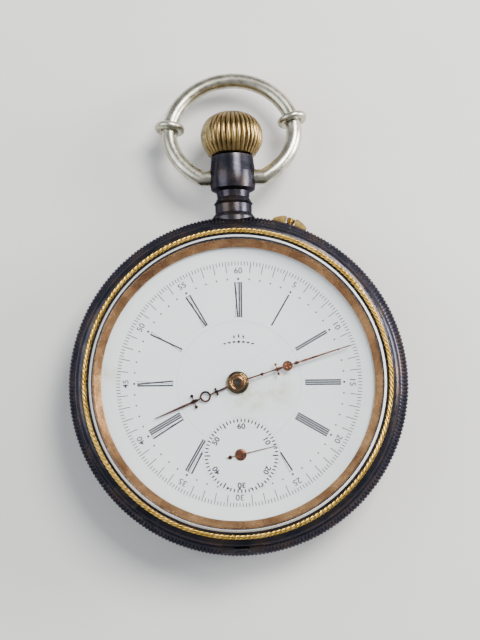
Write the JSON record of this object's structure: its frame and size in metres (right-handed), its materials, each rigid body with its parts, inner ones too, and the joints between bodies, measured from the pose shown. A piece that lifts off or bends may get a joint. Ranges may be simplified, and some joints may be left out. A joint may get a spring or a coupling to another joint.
{
  "type": "open face pocket watch",
  "caption": "Open face pocket watch with a pin-set movement: gunmetal case, milled edge, brass rope ring, white dial, hinged bezel and covers, bow and ribbed winding crown.",
  "frame": {"origin": "on the case's axis, in the plane of the back cover's flat centre, which the watch rests on", "axes": "+Z is the dial's outward normal; +Y points to the pendant, crown and bow at twelve; +X to the right of the dial"},
  "size_m": [0.05, 0.0732, 0.013],
  "materials": {
    "blue_steel": "blued steel",
    "bow_nickel": "dull nickel silver",
    "brass": "aged, polished on the high spots",
    "crystal_glass": "clear flat glass with a bevelled edge",
    "enamel": "fired white enamel, glossy",
    "gunmetal": "oxidised gunmetal, satin, worn to grey on the edges",
    "nickel_plate": "frosted nickel",
    "rose_gilt": "rose gilt, polished",
    "ruby": "ruby, polished",
    "steel": "polished steel",
    "wheel_brass": "gilt brass, satin"
  },
  "bodies": {
    "case": {"case_band": "gunmetal", "pendant": "gunmetal", "set_pin_guard": "brass", "bezel_hinge_pin": "steel", "back_hinge_pin": "steel", "main_plate": "nickel_plate", "barrel_bridge": "nickel_plate", "train_bridge": "nickel_plate", "balance_cock": "nickel_plate", "pallet_bridge": "nickel_plate", "jewels": "ruby", "bridge_screws": "blue_steel", "hairspring_stud": "steel", "dial": "enamel"},
    "bow": {"bow": "bow_nickel", "bow_collars": "bow_nickel"},
    "bezel": {"bezel": "gunmetal", "rope_ring": "brass", "reflector_ring": "rose_gilt", "crystal": "crystal_glass"},
    "back_cover": {"back_cover": "gunmetal"},
    "dust_cover": {"dust_cover": "gunmetal"},
    "crown": {"crown": "brass", "stem": "steel", "winding_pinion": "steel"},
    "sliding_pinion": {"sliding_pinion": "steel"},
    "set_pin": {"set_pin": "brass"},
    "setting_lever": {"setting_lever": "steel"},
    "crown_wheel": {"crown_wheel": "steel"},
    "ratchet": {"ratchet_wheel": "steel", "barrel_arbor": "steel"},
    "click": {"click": "steel"},
    "barrel": {"barrel_drum": "wheel_brass", "barrel_lid": "wheel_brass", "mainspring": "steel"},
    "centre_wheel": {"centre_wheel": "wheel_brass", "centre_pinion": "steel", "cannon_pinion": "steel", "minute_hand": "rose_gilt"},
    "third_wheel": {"third_wheel": "wheel_brass", "third_pinion": "steel"},
    "fourth_wheel": {"fourth_wheel": "wheel_brass", "fourth_pinion": "steel", "seconds_hand": "rose_gilt"},
    "escape_wheel": {"escape_wheel": "steel", "escape_pinion": "steel"},
    "pallets": {"pallet_fork": "steel", "pallet_stones": "ruby"},
    "balance": {"balance_wheel": "wheel_brass", "balance_staff": "steel", "impulse_roller": "steel", "hairspring": "blue_steel"},
    "regulator": {"regulator": "steel"},
    "minute_wheel": {"minute_wheel": "wheel_brass"},
    "hour_wheel": {"hour_wheel": "wheel_brass", "hour_hand": "rose_gilt"},
    "setting_wheel": {"setting_wheel": "wheel_brass"}
  },
  "joints": [
    {"name": "bow_swing", "type": "hinge", "parent": "case", "child": "bow", "pos_m": [0, 0.0312, 0.0064], "axis": [1, 0, 0], "range_deg": [-91, 109]},
    {"name": "bezel_open", "type": "hinge", "parent": "case", "child": "bezel", "pos_m": [0, -0.024, 0.0103], "axis": [1, 0, 0], "range_deg": [0, 95]},
    {"name": "back_cover_open", "type": "hinge", "parent": "case", "child": "back_cover", "pos_m": [0, -0.02385, 0.00333], "axis": [-1, 0, 0], "range_deg": [0, 100]},
    {"name": "dust_cover_open", "type": "hinge", "parent": "case", "child": "dust_cover", "pos_m": [0, -0.02385, 0.00333], "axis": [-1, 0, 0], "range_deg": [0, 86]},
    {"name": "crown_turn", "type": "hinge", "parent": "case", "child": "crown", "pos_m": [0, 0.036, 0.0064], "axis": [0, 1, 0], "continuous": true},
    {"name": "sliding_pinion_shift", "type": "slide", "parent": "crown", "child": "sliding_pinion", "axis": [0, 1, 0], "range_m": [-0.00072, 0]},
    {"name": "set_pin_push", "type": "slide", "parent": "case", "child": "set_pin", "axis": [0.3322, 0.9432, 0], "range_m": [-0.00035, 0], "stiffness_N_per_m": 1500, "springref_m": 0.0005},
    {"name": "setting_lever_rock", "type": "hinge", "parent": "case", "child": "setting_lever", "pos_m": [0.0104, 0.0162, 0.006], "axis": [0, 0, 1], "range_deg": [0, 4.6]},
    {"name": "crown_wheel_turn", "type": "hinge", "parent": "case", "child": "crown_wheel", "pos_m": [0, 0.01193, 0.006], "axis": [0, 0, 1], "continuous": true},
    {"name": "ratchet_turn", "type": "hinge", "parent": "case", "child": "ratchet", "pos_m": [0.00786, 0.0066, 0.006], "axis": [0, 0, 1], "continuous": true},
    {"name": "click_lift", "type": "hinge", "parent": "case", "child": "click", "pos_m": [0.0143, 0.0075, 0.006], "axis": [0, 0, -1], "range_deg": [0, 8]},
    {"name": "minutes_turn", "type": "hinge", "parent": "case", "child": "centre_wheel", "pos_m": [0, 0, 0.006], "axis": [0, 0, 1], "continuous": true},
    {"name": "third_wheel_turn", "type": "hinge", "parent": "case", "child": "third_wheel", "pos_m": [0.00135, -0.00569, 0.006], "axis": [0, 0, 1], "continuous": true},
    {"name": "seconds_turn", "type": "hinge", "parent": "case", "child": "fourth_wheel", "pos_m": [0.00015, -0.01043, 0.006], "axis": [0, 0, 1], "continuous": true},
    {"name": "escape_wheel_turn", "type": "hinge", "parent": "case", "child": "escape_wheel", "pos_m": [-0.00423, -0.00993, 0.006], "axis": [0, 0, 1], "continuous": true},
    {"name": "barrel_turn", "type": "hinge", "parent": "case", "child": "barrel", "pos_m": [0.00786, 0.0066, 0.006], "axis": [0, 0, 1], "continuous": true},
    {"name": "minute_wheel_turn", "type": "hinge", "parent": "case", "child": "minute_wheel", "pos_m": [0, 0.003, 0.006], "axis": [0, 0, 1], "continuous": true},
    {"name": "setting_wheel_turn", "type": "hinge", "parent": "case", "child": "setting_wheel", "pos_m": [0, 0.00925, 0.006], "axis": [0, 0, 1], "continuous": true},
    {"name": "hours_turn", "type": "hinge", "parent": "case", "child": "hour_wheel", "pos_m": [0, 0, 0.006], "axis": [0, 0, 1], "continuous": true},
    {"name": "pallets_rock", "type": "hinge", "parent": "case", "child": "pallets", "pos_m": [-0.00676, -0.00854, 0.006], "axis": [0, 0, 1], "range_deg": [-5, 5]},
    {"name": "balance_swing", "type": "hinge", "parent": "case", "child": "balance", "pos_m": [-0.01018, -0.00666, 0.006], "axis": [0, 0, 1], "range_deg": [-220, 220], "stiffness_Nm_per_rad": 0.0000037, "deforming": ["hairspring"]},
    {"name": "regulator_shift", "type": "hinge", "parent": "case", "child": "regulator", "pos_m": [-0.01018, -0.00666, 0.006], "axis": [0, 0, 1], "range_deg": [-12, 12]}
  ],
  "couplings": [
    {"joint": "dust_cover_open", "follows": "back_cover_open", "ratio": 0.85},
    {"joint": "sliding_pinion_shift", "follows": "set_pin_push", "ratio": 2},
    {"joint": "setting_lever_rock", "follows": "set_pin_push", "rad_per_m": -225.73},
    {"joint": "crown_wheel_turn", "follows": "crown_turn", "ratio": 0.4},
    {"joint": "ratchet_turn", "follows": "crown_turn", "ratio": -0.44444},
    {"joint": "third_wheel_turn", "follows": "minutes_turn", "ratio": -8},
    {"joint": "seconds_turn", "follows": "minutes_turn", "ratio": 60},
    {"joint": "escape_wheel_turn", "follows": "minutes_turn", "ratio": -600},
    {"joint": "barrel_turn", "follows": "minutes_turn", "ratio": -0.125},
    {"joint": "minute_wheel_turn", "follows": "minutes_turn", "ratio": -0.33333},
    {"joint": "hours_turn", "follows": "minutes_turn", "ratio": 0.083333},
    {"joint": "setting_wheel_turn", "follows": "minutes_turn", "ratio": 0.1875}
  ]
}
